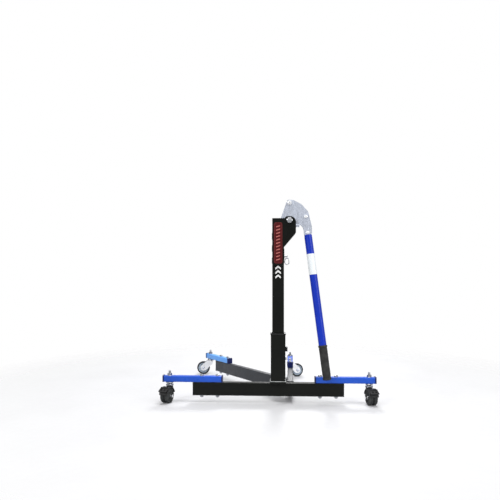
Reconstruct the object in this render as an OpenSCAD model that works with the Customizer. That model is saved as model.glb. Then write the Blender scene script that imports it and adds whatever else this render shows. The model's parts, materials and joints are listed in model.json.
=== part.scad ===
// Motorcycle paddock stand: a wheeled base with a telescopic mast beside the machine, and a
// lever that swings a pin under the frame and locks it past top dead centre.
// Millimetres. +X along the front rail, +Y under the motorcycle, +Z up, floor at Z = 0.

/* [Base frame] */
// Length of the front rail
rail_len = 616; // [500:2:760]
// Height of the rail and leg tubes
beam_h = 54; // [40:1:60]
// Depth of the front rail, front to back
rail_d = 30; // [30:1:40]
// Width of each leg tube
leg_w = 25; // [25:1:35]
// Wall of the rail and leg tubes
beam_wall = 3; // [2:0.5:4]
// Height of the rail's underside over the floor
beam_z = 29; // [28:1:45]
// Straight leg, from the back of the rail to its end
straight_len = 457; // [380:1:520]
// Angle by which the straight leg splays outwards
leg_splay = 1.8; // [0:0.1:3]
// Oblique leg, from the straight leg to its end
oblique_len = 588; // [520:1:640]
// Angle of the oblique leg from the straight one
oblique_angle = 36.8; // [30:0.1:42]

/* [Castor arms] */
// Side of the square arm tube
arm_side = 25; // [22:1:30]
// Overlap of each arm on its beam
arm_overlap = 121; // [110:1:140]
// Reach of the front arms past the rail
front_reach = 129; // [110:1:160]
// Reach of the rear arms past the legs
rear_reach = 110; // [95:1:150]
// Castor stem, in from the arm's end
stem_inset = 28; // [24:1:36]

/* [Mast] */
// Offset of the mast from the middle of the rail
mast_x = 42; // [0:1:60]
// Side of the outer mast tube
outer_side = 60; // [60:1:70]
// Wall of the outer mast tube
outer_wall = 4; // [3:0.5:4]
// Top of the outer mast tube over the floor
outer_top = 282; // [260:1:320]
// Side of the inner mast tube
inner_side = 48; // [46:0.5:48]
// Wall of the inner mast tube
inner_wall = 3; // [2.5:0.5:4]
// Lower end of the inner mast tube
inner_foot = 125; // [120:1:150]
// Top of the head over the floor
head_top = 758; // [740:1:800]

/* [Lifting gear] */
// Pivot of the lifting plate, out from the mast's middle
pivot_x = 46; // [46:1:52]
// Pivot below the top of the head
pivot_drop = 9; // [6:1:10]
// Lift arm: from the pivot up to the adapter pin
lift_arm = 74; // [68:1:76]
// Thickness of the lifting plate
plate_t = 10; // [8:1:12]
// Sideways lean of the hanging lever
lever_lean = 7.25; // [5:0.25:9]
// Outward lean of the hanging lever, towards the user
lever_splay = 3.2; // [3:0.1:5]
// Lever from its lower bolt to the end of the grip
lever_len = 603; // [560:1:640]
// Diameter of the lever tube
lever_d = 32; // [30:1:34]
// Length of the rubber grip
grip_len = 140; // [110:1:160]

/* [Castors] */
// Radius of the front twin wheels
front_wheel_r = 30; // [28:0.5:30]
// Width of each front wheel
front_wheel_w = 14; // [14:0.5:18]
// Trail of the front castors
front_trail = 24; // [22:1:26]
// Radius of the rear wheels
rear_wheel_r = 34; // [28:0.5:34]
// Width of each rear wheel
rear_wheel_w = 20; // [18:0.5:20]
// Trail of the rear castors
rear_trail = 38; // [38:1:42]

/* [Hidden] */
$fn = 64;

BLACK = [0.11, 0.115, 0.11];
SLATE = [0.22, 0.23, 0.25];
BLUE = [0.10, 0.24, 0.78];
NAVY = [0.05, 0.08, 0.35];
ZINC = [0.72, 0.75, 0.80];
CHROME = [0.82, 0.83, 0.85];
RUBBER = [0.13, 0.13, 0.13];

// Levels
beam_top = beam_z + beam_h;
arm_top = beam_top + arm_side;
plate_z = beam_top;
foot_t = 8;
foot_side = outer_side + 8;
outer_z = beam_top + foot_t;
tube_top = head_top - 53;
pivot_z = head_top - pivot_drop;

// Plan of the base: the rail lies at Y = rail_y, which centres the footprint on the origin
straight_x = 53;
root_y = 85;
oblique_dir = 90 + oblique_angle;
front_tip = 70;
rear_tip = root_y + (oblique_len + rear_reach - 5) * cos(oblique_angle)
    + arm_side / 2 * sin(oblique_angle);
rail_y = (front_tip - rear_tip) / 2;
root = [mast_x + straight_x - leg_w / 2, rail_y + root_y];
root_back = root_y - rail_d / 2;

// Beam ends and the direction in which each castor arm leaves, in the order
// front left, front right, rear left, rear right
beam_ends = [
    [-rail_len / 2, rail_y],
    [rail_len / 2, rail_y],
    root + oblique_len * [cos(oblique_dir), sin(oblique_dir)],
    [mast_x + straight_x, rail_y + root_y]
        + (straight_len - root_back) * [sin(leg_splay), cos(leg_splay)]
];
beam_dirs = [180, 0, oblique_dir, 90 - leg_splay];
reaches = [front_reach, front_reach, rear_reach - 5, rear_reach];
// Direction in which each castor trails at rest
trail_dirs = [254, 281, 183, 22];
// How far each arm is drawn out along its beam
arm_out = [0, 5, 0, 0];
bolt_places = [-33, -99];
cap_t = 5;

// Fasteners
m8_r = 4;
m8_af = 13;
m10_r = 5;
m10_af = 17;
hole_gap = 0.1;
running_gap = 0.05;
slip_gap = 0.3;

// Castors
fork_top = beam_top - 7.6;
front_top = beam_top - 16;
race_r = 16;
front_hood_r = front_wheel_r + 6;
web_t = 5;
wheel_gap = 0.6;
axle_r = 4;
pedal_pin = [front_trail + 21, front_wheel_r + 34];

// Head
cheek_t = 6;
cheek_low = 566;
ear_right = 72.5;
ear_top = head_top + 7.5;
rear_low = head_top - 33;
pivot_r = 7;
hub_r = 14;
plate_y = -10;
tail = [75.5, -49.4];
bolt_gap = 66;
tail_r = 16;
band_from = 88;
band_len = 85;
tongue_t = 8;
tongue_w = 28;

// Adapter pin, along Y
pin_r = 8;
bush_r = 12;
bush_step = 3;
washer_r = 9.5;
shoulder_r = 13;
spigot_r = 9;
spigot_len = 36;
shoulder_y = 46;

// Mast furniture
knob_z = 221;
clamp_z = 184;
lock_z = 603;
lock_r = 4;
lock_head = 37;
label_w = 35;
label_z = 573;
label_h = 168;
ring_w = 20;
ring_h = 30;
ring_wire = 1.8;

// ---------- helpers ----------

function unit(v) = v / norm(v);

// Arc that rounds the corner p[1] of the corner points p to radius r
function corner_arc(a, p, b, r, n = 8) =
    r <= 0 ? [p] :
    let (
        u = unit(a - p),
        v = unit(b - p),
        half = acos(u * v) / 2,
        centre = p + unit(u + v) * r / sin(half),
        start = p + u * r / tan(half),
        finish = p + v * r / tan(half),
        from = start - centre,
        to = finish - centre
    )
    [for (i = [0:n]) centre + r * unit(from * (n - i) / n + to * i / n)];

// Closed outline whose corners [x, y, r] are rounded
function rounded(corners) =
    let (n = len(corners))
    [for (i = [0:n - 1])
        let (
            a = corners[(i + n - 1) % n],
            p = corners[i],
            b = corners[(i + 1) % n]
        )
        each corner_arc([a.x, a.y], [p.x, p.y], [b.x, b.y], p[2])];

// Box between two opposite corners
module block(low, high) {
    translate(low)
        cube(high - low);
}

// Rectangular tube along +X, centred on Y, its underside at Z = 0
module tube_x(from, to, width, height, wall) {
    difference() {
        block([from, -width / 2, 0], [to, width / 2, height]);
        block([from - 1, -width / 2 + wall, wall], [to + 1, width / 2 - wall, height - wall]);
    }
}

// Square tube along +Z
module tube_z(side, wall, low, high) {
    difference() {
        block([-side / 2, -side / 2, low], [side / 2, side / 2, high]);
        block([-side / 2 + wall, -side / 2 + wall, low - 1],
              [side / 2 - wall, side / 2 - wall, high + 1]);
    }
}

// Rod along +Y from one Y to another
module rod_y(r, from, to) {
    translate([0, from, 0])
        rotate([-90, 0, 0])
            cylinder(r = r, h = to - from);
}

// Rod along +X from one X to another
module rod_x(r, from, to) {
    translate([from, 0, 0])
        rotate([0, 90, 0])
            cylinder(r = r, h = to - from);
}

// Hexagon along +Z, measured across its flats
module hexagon(af, h) {
    cylinder(r = af / 2 / cos(30), h = h, $fn = 6);
}

// Hexagon along +Y from one Y to another
module hex_y(af, from, to) {
    translate([0, from, 0])
        rotate([-90, 0, 0])
            hexagon(af, to - from);
}

// Plate standing in the XZ plane, drawn in X and Z, from one Y to another
module plate_xz(from, to) {
    translate([0, to, 0])
        rotate([90, 0, 0])
            linear_extrude(height = to - from)
                children();
}

// Rubber wheel about Y, with rounded shoulders and a bore
module tread(r, w, shoulder, inner_r) {
    rotate([90, 0, 0])
        rotate_extrude()
            polygon(rounded([
                [inner_r, -w / 2, 0],
                [r, -w / 2, shoulder],
                [r, w / 2, shoulder],
                [inner_r, w / 2, 0]
            ]));
}

module at_mast() {
    translate([mast_x, rail_y, 0])
        children();
}

module at_pivot() {
    translate([mast_x + pivot_x, rail_y, pivot_z])
        children();
}

module at_pin() {
    at_pivot()
        translate([0, 0, lift_arm])
            children();
}

// Lever's lower bolt, with +Z up along the bolted tongue
module at_tongue() {
    at_pivot()
        translate([tail.x, 0, tail.y])
            rotate([0, -lever_lean, 0])
                children();
}

// The same point, with -Z down along the splayed tube
module at_lever() {
    at_tongue()
        translate([0, plate_y + plate_t / 2, 0])
            rotate([-lever_splay, 0, 0])
                children();
}

// End of beam i, with +X pointing out along it
module at_beam_end(i) {
    translate(beam_ends[i])
        rotate([0, 0, beam_dirs[i]])
            children();
}

// The same for the arm on that beam
module at_arm(i) {
    at_beam_end(i)
        translate([arm_out[i], 0, 0])
            children();
}

// Stem of castor i, without its swing
function stem_at(i) = beam_ends[i]
    + (reaches[i] + arm_out[i] - stem_inset) * [cos(beam_dirs[i]), sin(beam_dirs[i])];

// Castor i, with +X in the direction in which it trails
module at_castor(i) {
    translate(stem_at(i))
        rotate([0, 0, trail_dirs[i]])
            children();
}

// Holes through a beam and its arm for the two M8 bolts
module beam_bolt_holes() {
    for (x = bolt_places)
        translate([x, 0, -1])
            cylinder(r = m8_r + hole_gap, h = arm_top + 2);
}

// ---------- base ----------

module base_rail() {
    color(BLACK)
        difference() {
            translate([0, rail_y, beam_z])
                tube_x(-rail_len / 2, rail_len / 2, rail_d, beam_h, beam_wall);
            for (i = [0, 1])
                at_arm(i)
                    beam_bolt_holes();
        }
}

module leg_straight() {
    color(SLATE)
        at_beam_end(3)
            difference() {
                translate([0, 0, beam_z])
                    tube_x(-straight_len - 2, 0, leg_w, beam_h, beam_wall);
                beam_bolt_holes();
                translate([root_back - straight_len, 0, 0])
                    rotate([0, 0, leg_splay])
                        block([-root_back - rail_d, -leg_w, 0], [-root_back, leg_w, arm_top]);
            }
}

module leg_oblique() {
    mitre = leg_w * 2;
    color(SLATE)
        difference() {
            at_beam_end(2)
                difference() {
                    translate([0, 0, beam_z])
                        tube_x(-oblique_len - mitre, 0, leg_w, beam_h, beam_wall);
                    beam_bolt_holes();
                }
            at_beam_end(3)
                block([-straight_len - mitre, leg_w / 2 - 4 * mitre, 0], [0, leg_w / 2, arm_top]);
        }
}

// Plastic plugs in the open ends of the rail and the two legs
module beam_end_caps() {
    color(BLACK)
        for (i = [0:3]) {
            width = i < 2 ? rail_d : leg_w;
            at_beam_end(i) {
                block([0, -width / 2, beam_z], [3, width / 2, beam_top]);
                block([-14, -width / 2 + beam_wall, beam_z + beam_wall],
                      [0, width / 2 - beam_wall, beam_top - beam_wall]);
            }
        }
}

module foot_plate() {
    color(BLACK)
        at_mast()
            block([-foot_side / 2, -foot_side / 2, plate_z], [foot_side / 2, foot_side / 2, outer_z]);
}

// Two ribs under the foot plate, behind the rail
module foot_gussets() {
    reach = (foot_side - rail_d) / 2 - 2;
    color(BLACK)
        at_mast()
            for (x = [-22, 22])
                translate([x - 3, rail_d / 2, plate_z])
                    rotate([90, 0, 90])
                        linear_extrude(height = 6)
                            polygon([[0, 0], [reach, 0], [reach, -6], [0, -36]]);
}

module mast_outer_tube() {
    color(BLACK)
        at_mast()
            difference() {
                tube_z(outer_side, outer_wall, outer_z, outer_top);
                translate([0, 0, knob_z])
                    rod_x(m8_r + running_gap, inner_side / 2, outer_side);
                translate([0, 0, clamp_z])
                    rod_x(m8_r, inner_side / 2, outer_side);
            }
}

// Plastic collar: a lip on the outer tube and a sleeve that guides the inner one
module mast_collar() {
    bore = inner_side + 2 * slip_gap;
    sleeve = outer_side - 2 * outer_wall;
    lip = outer_side / 2 + 1.5;
    color(BLACK)
        at_mast()
            difference() {
                union() {
                    block([-lip, -lip, outer_top], [lip, lip, outer_top + 6]);
                    block([-sleeve / 2, -sleeve / 2, outer_top - 32], [sleeve / 2, sleeve / 2, outer_top]);
                }
                block([-bore / 2, -bore / 2, outer_top - 40], [bore / 2, bore / 2, outer_top + 10]);
            }
}

// Hexagon clamp screw below the knob
module clamp_bolt() {
    color(ZINC)
        at_mast()
            translate([0, 0, clamp_z]) {
                rod_x(m8_r, inner_side / 2 + slip_gap, outer_side / 2);
                translate([outer_side / 2, 0, 0])
                    rotate([0, 90, 0])
                        hexagon(m8_af, 5.5);
            }
}

// Lobed knob on the screw that clamps the height
module clamp_knob() {
    knob_r = 9;
    color(BLACK)
        at_mast()
            translate([0, 0, knob_z]) {
                rod_x(m8_r, inner_side / 2 + slip_gap, outer_side / 2 + 4);
                difference() {
                    rod_x(knob_r + 1, outer_side / 2 + 0.6, outer_side / 2 + 9);
                    for (a = [0:60:300])
                        rotate([a, 0, 0])
                            translate([0, knob_r + 3, 0])
                                rod_x(3.2, outer_side / 2, outer_side / 2 + 10);
                }
            }
}

// ---------- castor arms ----------

module castor_arm(i) {
    color(BLUE)
        at_arm(i)
            difference() {
                translate([0, 0, beam_top])
                    tube_x(-arm_overlap + cap_t, reaches[i] - cap_t, arm_side, arm_side, 2.5);
                beam_bolt_holes();
                translate([reaches[i] - stem_inset, 0, 0])
                    cylinder(r = m10_r + hole_gap, h = arm_top + 1);
            }
}

module arm_front_left() {
    castor_arm(0);
}

module arm_front_right() {
    castor_arm(1);
}

module arm_rear_left() {
    castor_arm(2);
}

module arm_rear_right() {
    castor_arm(3);
}

// One plastic cap on the end of an arm tube: a rounded shell with a plug
module arm_cap() {
    rim = arm_side + 3;
    inner = arm_side - 5;
    color(NAVY) {
        translate([0, -rim / 2, beam_top])
            rotate([90, 0, 90])
                linear_extrude(height = cap_t)
                    polygon(rounded([[0, 0, 0.5], [rim, 0, 0.5], [rim, rim - 1, 4], [0, rim - 1, 4]]));
        block([-12, -inner / 2, beam_top + 2.5], [0, inner / 2, arm_top - 2.5]);
    }
}

module arm_end_caps() {
    for (i = [0:3])
        at_arm(i) {
            translate([reaches[i] - cap_t, 0, 0])
                arm_cap();
            translate([-arm_overlap + cap_t, 0, 0])
                mirror([1, 0, 0])
                    arm_cap();
        }
}

module arm_bolts() {
    color(ZINC)
        for (i = [0:3])
            at_arm(i)
                for (x = bolt_places)
                    translate([x, 0, 0]) {
                        translate([0, 0, beam_z - 10])
                            cylinder(r = m8_r, h = arm_top - beam_z + 10);
                        translate([0, 0, arm_top])
                            cylinder(r = 8, h = 1.6);
                        translate([0, 0, arm_top + 1.6])
                            hexagon(m8_af, 5.3);
                    }
}

module arm_nuts() {
    color(ZINC)
        for (i = [0:3])
            at_arm(i)
                for (x = bolt_places)
                    translate([x, 0, 0])
                        difference() {
                            union() {
                                translate([0, 0, beam_z - 1.6])
                                    cylinder(r = 8, h = 1.6);
                                translate([0, 0, beam_z - 8.1])
                                    hexagon(m8_af, 6.5);
                            }
                            translate([0, 0, beam_z - 9])
                                cylinder(r = m8_r, h = 10);
                        }
}

// Fixed half of each castor: threaded stem, race under the arm and the head inside the fork
module castor_stems() {
    color(ZINC)
        for (i = [0:3])
            at_castor(i) {
                top = i < 2 ? front_top : fork_top;
                low = top - (i < 2 ? 12 : 16);
                translate([0, 0, low])
                    cylinder(r = m10_r, h = arm_top + 21 - low);
                translate([0, 0, top + 0.4])
                    cylinder(r = race_r, h = beam_top - top - 0.4);
                translate([0, 0, low])
                    cylinder(r = i < 2 ? 6.2 : 8.5, h = 5.6);
            }
}

module castor_nuts() {
    color(ZINC)
        for (i = [0:3])
            at_castor(i)
                difference() {
                    union() {
                        translate([0, 0, arm_top])
                            cylinder(r = 10, h = 2);
                        translate([0, 0, arm_top + 2])
                            hexagon(m10_af, 8.4);
                    }
                    translate([0, 0, arm_top - 1])
                        cylinder(r = m10_r, h = 14);
                }
}

// ---------- mast and head ----------

module mast_inner_tube() {
    color(BLACK)
        at_mast()
            difference() {
                tube_z(inner_side, inner_wall, inner_foot, tube_top);
                translate([0, 0, lock_z])
                    rod_x(lock_r + running_gap, -inner_side, inner_side);
            }
}

// Plastic foot of the inner tube, which slides in the outer one
module mast_guide_block() {
    side = outer_side - 2 * outer_wall - 2 * slip_gap;
    plug = inner_side - 2 * inner_wall;
    color(BLACK)
        at_mast() {
            block([-side / 2, -side / 2, inner_foot - 16], [side / 2, side / 2, inner_foot]);
            block([-plug / 2, -plug / 2, inner_foot], [plug / 2, plug / 2, inner_foot + 20]);
        }
}

// Front cheek, which covers the tube, carries the label and ends in the pivot ear
module cheek_front() {
    half = inner_side / 2;
    color(BLACK)
        at_mast()
            difference() {
                plate_xz(-half - cheek_t, -half)
                    polygon(rounded([
                        [-half, cheek_low, 5],
                        [half, cheek_low, 5],
                        [half, 642, 3],
                        [ear_right, 699, 5],
                        [ear_right, ear_top, 23],
                        [32, ear_top, 7],
                        [27, head_top, 3],
                        [-half, head_top, 2]
                    ]));
                translate([pivot_x, 0, pivot_z])
                    rod_y(pivot_r, -outer_side, 0);
            }
}

// Rear cheek, low on the left so that the adapter pin can swing over it
module cheek_rear() {
    half = inner_side / 2;
    color(BLACK)
        at_mast()
            difference() {
                plate_xz(half, half + cheek_t)
                    polygon(rounded([
                        [-half, cheek_low, 5],
                        [half, cheek_low, 5],
                        [half, 642, 3],
                        [ear_right, 699, 5],
                        [ear_right, ear_top, 23],
                        [26, ear_top, 14],
                        [18, rear_low, 6],
                        [-half, rear_low, 6]
                    ]));
                translate([pivot_x, 0, pivot_z])
                    rod_y(pivot_r, 0, outer_side);
            }
}

// Bar between the cheeks on which the lifting plate rests when the lever hangs
module head_stop() {
    color(ZINC)
        at_pivot()
            block([16, -inner_side / 2, -23], [42, inner_side / 2, -16.5]);
}

// Plain coloured label
module mast_label() {
    color([0.36, 0.06, 0.07])
        at_mast()
            plate_xz(-inner_side / 2 - cheek_t - 0.6, -inner_side / 2 - cheek_t)
                label_shape(0);
}

// Outline of the label, drawn in from its rim
module label_shape(inset) {
    w = label_w / 2 - inset;
    low = label_z + inset;
    high = label_z + label_h - inset;
    r = 8 - inset;
    polygon(rounded([[-w, low, r], [w, low, r], [w, high, r], [-w, high, r]]));
}

// Plain print on the label: a border and a column of slanted bars
module label_print() {
    face = -inner_side / 2 - cheek_t - 0.6;
    color([0.80, 0.45, 0.42])
        at_mast()
            plate_xz(face - 0.2, face) {
                difference() {
                    label_shape(1.6);
                    label_shape(2.8);
                }
                for (i = [0:10])
                    translate([0, label_z + 12 + 13.5 * i])
                        polygon([[-8, 0], [8, 5], [8, 9], [-8, 4]]);
            }
}

// Height scale: plain ticks below the label
module mast_mark() {
    color("white")
        at_mast()
            plate_xz(-inner_side / 2 - 0.4, -inner_side / 2)
                for (z = [512, 530, 548])
                    translate([0, z])
                        polygon([[-11, 0], [0, 9], [11, 0], [11, 8], [0, 17], [-11, 8]]);
}

module pivot_bolt() {
    face = inner_side / 2 + cheek_t;
    color(CHROME)
        at_pivot() {
            rod_y(pivot_r, -face, face + 16);
            rod_y(10.5, -face - 2, -face);
            hex_y(21, -face - 11, -face - 2);
        }
}

module pivot_nut() {
    face = inner_side / 2 + cheek_t;
    color(ZINC)
        at_pivot()
            difference() {
                union() {
                    rod_y(13, face, face + 2);
                    hex_y(21, face + 2, face + 14);
                }
                rod_y(pivot_r, face - 1, face + 17);
            }
}

// Locking pin through the inner tube, with an eye flange for the pull ring
module lock_pin() {
    color(CHROME)
        at_mast()
            translate([0, 0, lock_z])
                difference() {
                    union() {
                        rod_x(lock_r, -inner_side / 2, lock_head);
                        rod_x(6.5, inner_side / 2 + 0.5, inner_side / 2 + 5);
                        rod_x(10, lock_head - 2, lock_head + 2);
                    }
                    translate([0, 0, -6.8])
                        rod_x(2.1, lock_head - 3, lock_head + 3);
                }
}

// Oval pull ring, hung through the flange of the locking pin
module lock_ring() {
    bend = ring_w / 2 - ring_wire;
    straight = ring_h - ring_w;
    color(CHROME)
        at_mast()
            translate([lock_head, 0, lock_z - 6.8 - bend])
                rotate([90, 0, 0]) {
                    for (end = [0, 1])
                        translate([0, -end * straight, 0])
                            rotate([0, 0, end * 180])
                                rotate_extrude(angle = 180)
                                    translate([bend, 0])
                                        circle(r = ring_wire);
                    for (side = [-1, 1])
                        translate([side * bend, 0, 0])
                            rotate([90, 0, 0])
                                cylinder(r = ring_wire, h = straight);
                }
}

// ---------- lifting gear ----------

// Bolt places along the lever's tongue, as heights above its lower bolt
tongue_bolts = [0, bolt_gap];

module lifting_plate() {
    color(ZINC)
        difference() {
            union() {
                at_pivot()
                    plate_xz(plate_y, plate_y + plate_t)
                        polygon(rounded([
                            [-35, 11, 3],
                            [-8, lift_arm + 13, 9],
                            [16, lift_arm + 12, 12],
                            [50, 68, 20],
                            [77, 38, 18],
                            [92, -22, 20],
                            [tail.x + tail_r + 1.5, tail.y, 0],
                            [tail.x - tail_r + 1.5, tail.y, 0],
                            [56, -28, 8],
                            [46, -16, 5],
                            [0, -16, 0],
                            [-20, -4, 0]
                        ]));
                at_pivot()
                    rod_y(20, plate_y, plate_y + plate_t);
                at_pivot()
                    translate([tail.x, 0, tail.y])
                        rod_y(tail_r, plate_y, plate_y + plate_t);
            }
            at_pivot()
                rod_y(hub_r, -outer_side, outer_side);
            at_pin() {
                rod_y(bush_r, plate_y + bush_step, outer_side);
                rod_y(pin_r + 4 * running_gap, -outer_side, 0);
            }
            at_tongue()
                for (z = tongue_bolts)
                    translate([0, 0, z])
                        rod_y(m8_r + hole_gap, -outer_side, outer_side);
        }
}

// Steel hub pressed through the plate, which turns on the pivot bolt
module pivot_hub() {
    half = inner_side / 2 - slip_gap;
    color(ZINC)
        at_pivot()
            difference() {
                rod_y(hub_r, -half, half);
                rod_y(pivot_r + running_gap, -outer_side, outer_side);
            }
}

// Bronze bush in the plate, for the adapter pin
module adapter_bush() {
    color([0.70, 0.52, 0.28])
        at_pin()
            difference() {
                rod_y(bush_r, plate_y + bush_step, plate_y + plate_t + 14);
                rod_y(pin_r + running_gap, -outer_side, outer_side);
            }
}

// Pin that turns in the bush: shoulder, then the spigot that enters the machine's adapter
module adapter_pin() {
    color(CHROME)
        at_pin()
            difference() {
                union() {
                    rod_y(pin_r, plate_y - 1.2, shoulder_y);
                    rod_y(shoulder_r, plate_y + plate_t + 14.4, shoulder_y);
                    rod_y(spigot_r, shoulder_y, shoulder_y + spigot_len);
                    translate([0, shoulder_y + spigot_len, 0])
                        rotate([-90, 0, 0])
                            cylinder(r1 = spigot_r, r2 = spigot_r - 3, h = 3);
                }
                rod_y(3, plate_y - 2, plate_y + 22);
            }
}

// Screw and washer that keep the pin in its bush
module adapter_screw() {
    color(CHROME)
        at_pin() {
            rod_y(3, plate_y - 1.2, plate_y + 20);
            rod_y(washer_r, plate_y - 3.2, plate_y - 1.2);
            rod_y(6.5, plate_y - 8.2, plate_y - 3.2);
        }
}

// Flat tongue, bolted behind the plate and welded into the lever tube
module lever_tongue() {
    back = plate_y + plate_t;
    color(BLUE)
        at_tongue()
            difference() {
                union() {
                    block([-tongue_w / 2, back, -lever_d - 14], [tongue_w / 2, back + tongue_t, bolt_gap]);
                    translate([0, 0, bolt_gap])
                        rod_y(tongue_w / 2, back, back + tongue_t);
                }
                for (z = tongue_bolts)
                    translate([0, 0, z])
                        rod_y(m8_r + hole_gap, -outer_side, outer_side);
            }
}

module lever_bolts() {
    back = plate_y + plate_t + tongue_t;
    color(ZINC)
        at_tongue()
            for (z = tongue_bolts)
                translate([0, 0, z]) {
                    rod_y(m8_r, plate_y, back + 9);
                    hex_y(m8_af, plate_y - 5.3, plate_y);
                    hex_y(m8_af, back, back + 6.5);
                }
}

// Round tube, slotted for the plate's tail and the tongue
module lever_tube() {
    tip = -lever_len + 4;
    mouth = -8.5;
    seat = grip_len - 3;
    wall = 2.5;
    color(BLUE)
        difference() {
            at_lever()
                translate([0, 0, tip]) {
                    cylinder(r = lever_d / 2 - 2.5, h = seat);
                    translate([0, 0, seat])
                        cylinder(r = lever_d / 2, h = -tip - seat);
                }
            at_lever()
                translate([0, 0, tip - 1])
                    cylinder(r = lever_d / 2 - 2 * wall, h = lever_len + 2);
            at_tongue() {
                block([-lever_d, -lever_d, mouth], [lever_d, lever_d, lever_d]);
                block([-tail_r - 1, plate_y, -tail_r - 1], [tail_r + 1, plate_y + plate_t, lever_d]);
                block([-tongue_w / 2, plate_y + plate_t, -lever_d - 14],
                      [tongue_w / 2, plate_y + plate_t + tongue_t, lever_d]);
            }
        }
}

// Reflective band wrapped around the tube
module lever_band() {
    color("white")
        at_lever()
            translate([0, 0, -band_from - band_len])
                difference() {
                    cylinder(r = lever_d / 2 + 0.4, h = band_len);
                    translate([0, 0, -1])
                        cylinder(r = lever_d / 2, h = band_len + 2);
                }
}

// Rubber grip: a collar, a ribbed sleeve and a closed round end
module lever_grip() {
    grip_r = lever_d / 2 + 1;
    seat_r = lever_d / 2 - 2.5;
    ribs = 10;
    pitch = (grip_len - 34) / ribs;
    color(RUBBER)
        at_lever()
            translate([0, 0, -lever_len])
                rotate_extrude()
                    polygon(concat(
                        [[0, 0], [grip_r - 5, 0], [grip_r - 1.5, 1.5], [grip_r, 5], [grip_r, 20]],
                        [for (i = [0:ribs - 1])
                            each [
                                [grip_r - 0.9, 20 + i * pitch + 0.8],
                                [grip_r - 0.9, 20 + i * pitch + 2.8],
                                [grip_r, 20 + i * pitch + 3.6],
                                [grip_r, 20 + (i + 1) * pitch]
                            ]],
                        [
                            [grip_r, grip_len - 9], [grip_r + 1.5, grip_len - 7],
                            [grip_r + 1.5, grip_len - 1], [grip_r, grip_len],
                            [lever_d / 2, grip_len], [lever_d / 2, grip_len + 1],
                            [seat_r, grip_len + 1], [seat_r, 4], [0, 4]
                        ]
                    ));
}

// ---------- front castors ----------

// Nylon body: boss around the stem, web between the wheels and a hood over them
module front_fork(i) {
    half_web = web_t / 2;
    half_hood = front_wheel_w + half_web + wheel_gap + 1;
    liner_r = front_wheel_r + 2.5;
    color(BLACK)
        at_castor(i)
            difference() {
                union() {
                    translate([front_trail, 0, front_wheel_r]) {
                        rod_y(front_wheel_r - 3, -half_web, half_web);
                        difference() {
                            union() {
                                difference() {
                                    rod_y(front_hood_r, -half_hood, half_hood);
                                    block([-60, -60, -60], [60, 60, 8]);
                                }
                                translate([-front_trail, 0, 16])
                                    cylinder(r = race_r - 2, h = front_top - front_wheel_r - 16);
                                for (side = [-1, 1])
                                    translate([pedal_pin.x - front_trail, 0, pedal_pin.y - front_wheel_r]) {
                                        rod_y(4.2, side * 12 - 2, side * 12 + 2);
                                        block([-9, side * 12 - 2, -9], [0, side * 12 + 2, 0]);
                                    }
                            }
                            rod_y(liner_r, half_web, 60);
                            rod_y(liner_r, -60, -half_web);
                        }
                    }
                }
                translate([front_trail, 0, front_wheel_r])
                    rod_y(axle_r, -half_hood, half_hood);
                translate([0, 0, front_top - 7])
                    cylinder(r = m10_r + running_gap, h = 8);
                translate([0, 0, front_top - 31])
                    cylinder(r = 6.6, h = 25);
                translate([pedal_pin.x, 0, pedal_pin.y])
                    rod_y(2, -half_hood, half_hood);
            }
}

module front_axle(i) {
    half = front_wheel_w + web_t / 2 + wheel_gap;
    inner = i == 0 ? 1 : -1;
    color(CHROME)
        at_castor(i)
            translate([front_trail, 0, front_wheel_r]) {
                rod_y(axle_r, -half - 1, half + 1);
                for (side = [-1, 1])
                    rod_y(7, side > 0 ? half + 0.4 : -half - 2.4, side > 0 ? half + 2.4 : -half - 0.4);
                hex_y(m8_af, inner > 0 ? half + 2.4 : -half - 8.4, inner > 0 ? half + 8.4 : -half - 2.4);
            }
}

// One of the twin wheels: side is -1 or 1 along the axle
module front_wheel(i, side) {
    middle = web_t / 2 + wheel_gap + front_wheel_w / 2;
    color(RUBBER)
        at_castor(i)
            translate([front_trail, side * middle, front_wheel_r])
                tread(front_wheel_r, front_wheel_w, 4, axle_r + running_gap);
}

// Brake pedal: a slotted pad on two lugs, with its pin
module front_pedal(i) {
    color(BLACK)
        at_castor(i)
            translate([pedal_pin.x, 0, pedal_pin.y]) {
                rod_y(2 - running_gap, -16, 16);
                rotate([0, 28, 0])
                    difference() {
                        block([6.5, -17, -2], [24, 17, 2]);
                        for (y = [-10, 4])
                            block([10, y, -5], [19, y + 6, 5]);
                    }
                for (side = [-1, 1])
                    rotate([0, 28, 0])
                        block([-3, side * 15.7 - 1.3, -3], [8, side * 15.7 + 1.3, 2]);
            }
}

module front_left_fork() {
    front_fork(0);
}

module front_left_axle() {
    front_axle(0);
}

module front_left_pedal() {
    front_pedal(0);
}

module front_left_wheel_inner() {
    front_wheel(0, 1);
}

module front_left_wheel_outer() {
    front_wheel(0, -1);
}

module front_right_fork() {
    front_fork(1);
}

module front_right_axle() {
    front_axle(1);
}

module front_right_pedal() {
    front_pedal(1);
}

module front_right_wheel_inner() {
    front_wheel(1, -1);
}

module front_right_wheel_outer() {
    front_wheel(1, 1);
}

// ---------- rear castors ----------

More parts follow.
